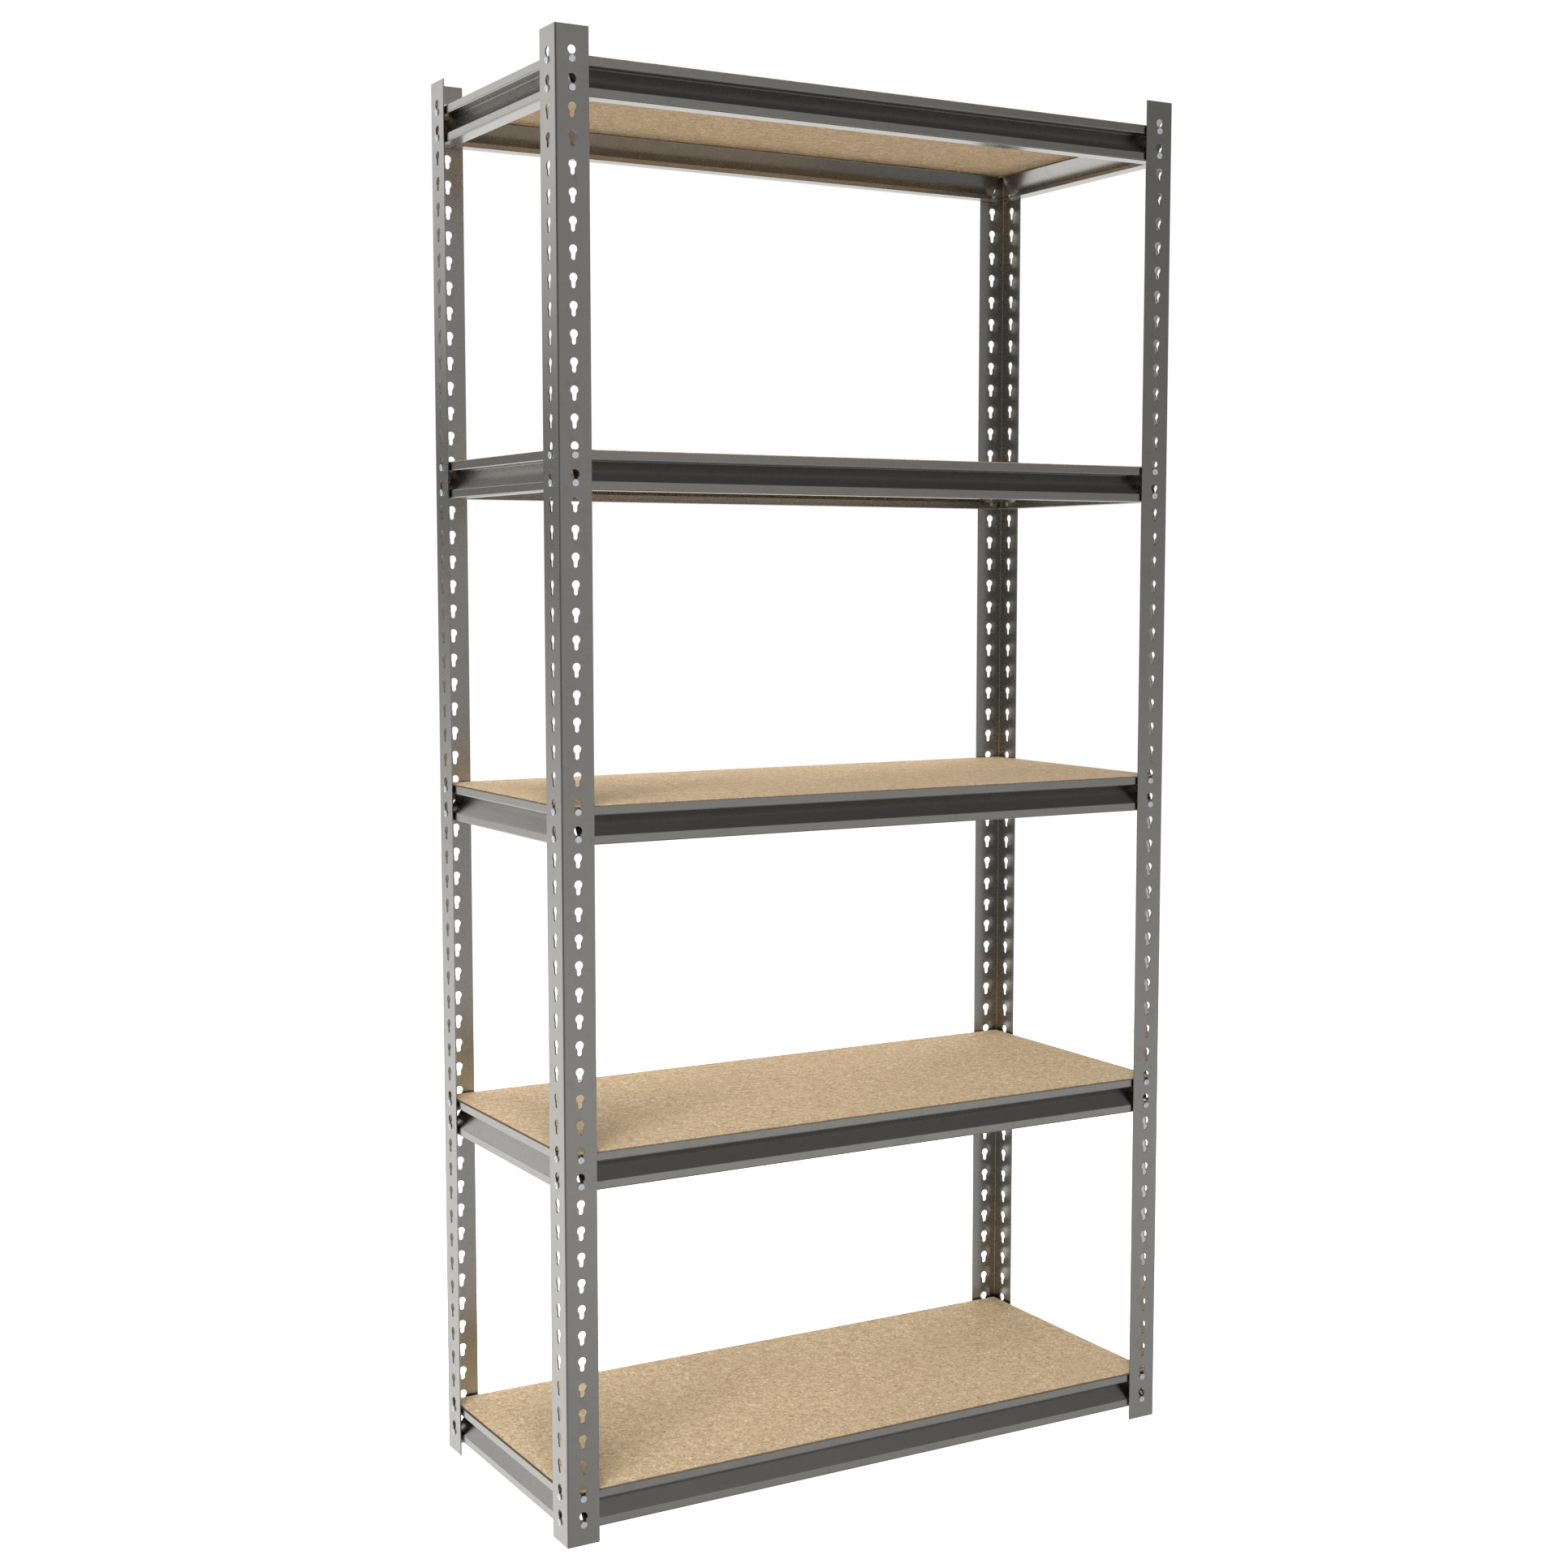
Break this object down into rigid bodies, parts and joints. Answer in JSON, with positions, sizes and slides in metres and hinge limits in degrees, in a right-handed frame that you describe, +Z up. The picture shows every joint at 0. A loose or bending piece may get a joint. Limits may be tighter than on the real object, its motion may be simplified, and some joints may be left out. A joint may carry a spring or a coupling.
{
  "type": "boltless steel shelving",
  "caption": "Free-standing rivet shelving: keyholed angle posts, steel beam frames hung on rivets, and a loose particle board on each level.",
  "frame": {"origin": "on the floor, under the middle of the unit", "axes": "+X to the right seen from the front, +Y to the back, +Z up"},
  "size_m": [1.0714, 0.4618, 2.1336],
  "materials": {
    "grey_paint": "semi-gloss grey enamel with a fine speckle",
    "particle_board": "bare sanded particle board",
    "zinc": "bright zinc plate on the rivets"
  },
  "bodies": {
    "posts": {"post_front_left_flange_x": "grey_paint", "post_front_left_flange_y": "grey_paint", "post_front_right_flange_x": "grey_paint", "post_front_right_flange_y": "grey_paint", "post_back_left_flange_x": "grey_paint", "post_back_left_flange_y": "grey_paint", "post_back_right_flange_x": "grey_paint", "post_back_right_flange_y": "grey_paint"},
    "shelf_frame_1": {"front_beam_1": "grey_paint", "back_beam_1": "grey_paint", "left_beam_1": "grey_paint", "right_beam_1": "grey_paint"},
    "shelf_board_1": {"board_1": "particle_board"},
    "shelf_frame_2": {"front_beam_2": "grey_paint", "back_beam_2": "grey_paint", "left_beam_2": "grey_paint", "right_beam_2": "grey_paint"},
    "shelf_board_2": {"board_2": "particle_board"},
    "shelf_frame_3": {"front_beam_3": "grey_paint", "back_beam_3": "grey_paint", "left_beam_3": "grey_paint", "right_beam_3": "grey_paint"},
    "shelf_board_3": {"board_3": "particle_board"},
    "shelf_frame_4": {"front_beam_4": "grey_paint", "back_beam_4": "grey_paint", "left_beam_4": "grey_paint", "right_beam_4": "grey_paint"},
    "shelf_board_4": {"board_4": "particle_board"},
    "shelf_frame_5": {"front_beam_5": "grey_paint", "back_beam_5": "grey_paint", "left_beam_5": "grey_paint", "right_beam_5": "grey_paint"},
    "shelf_board_5": {"board_5": "particle_board"}
  },
  "joints": [
    {"name": "shelf_1_unhook", "type": "slide", "parent": "posts", "child": "shelf_frame_1", "axis": [0, 0, 1], "range_m": [0, 0.0122]},
    {"name": "board_1_lift", "type": "slide", "parent": "shelf_frame_1", "child": "shelf_board_1", "axis": [0, 0, 1], "range_m": [0, 0.4378]},
    {"name": "shelf_2_unhook", "type": "slide", "parent": "posts", "child": "shelf_frame_2", "axis": [0, 0, 1], "range_m": [0, 0.0122]},
    {"name": "board_2_lift", "type": "slide", "parent": "shelf_frame_2", "child": "shelf_board_2", "axis": [0, 0, 1], "range_m": [0, 0.4378]},
    {"name": "shelf_3_unhook", "type": "slide", "parent": "posts", "child": "shelf_frame_3", "axis": [0, 0, 1], "range_m": [0, 0.0122]},
    {"name": "board_3_lift", "type": "slide", "parent": "shelf_frame_3", "child": "shelf_board_3", "axis": [0, 0, 1], "range_m": [0, 0.4378]},
    {"name": "shelf_4_unhook", "type": "slide", "parent": "posts", "child": "shelf_frame_4", "axis": [0, 0, 1], "range_m": [0, 0.0122]},
    {"name": "board_4_lift", "type": "slide", "parent": "shelf_frame_4", "child": "shelf_board_4", "axis": [0, 0, 1], "range_m": [0, 0.4759]},
    {"name": "shelf_5_unhook", "type": "slide", "parent": "posts", "child": "shelf_frame_5", "axis": [0, 0, 1], "range_m": [0, 0.0122]},
    {"name": "board_5_lift", "type": "slide", "parent": "shelf_frame_5", "child": "shelf_board_5", "axis": [0, 0, 1], "range_m": [0, 0.0598]}
  ]
}
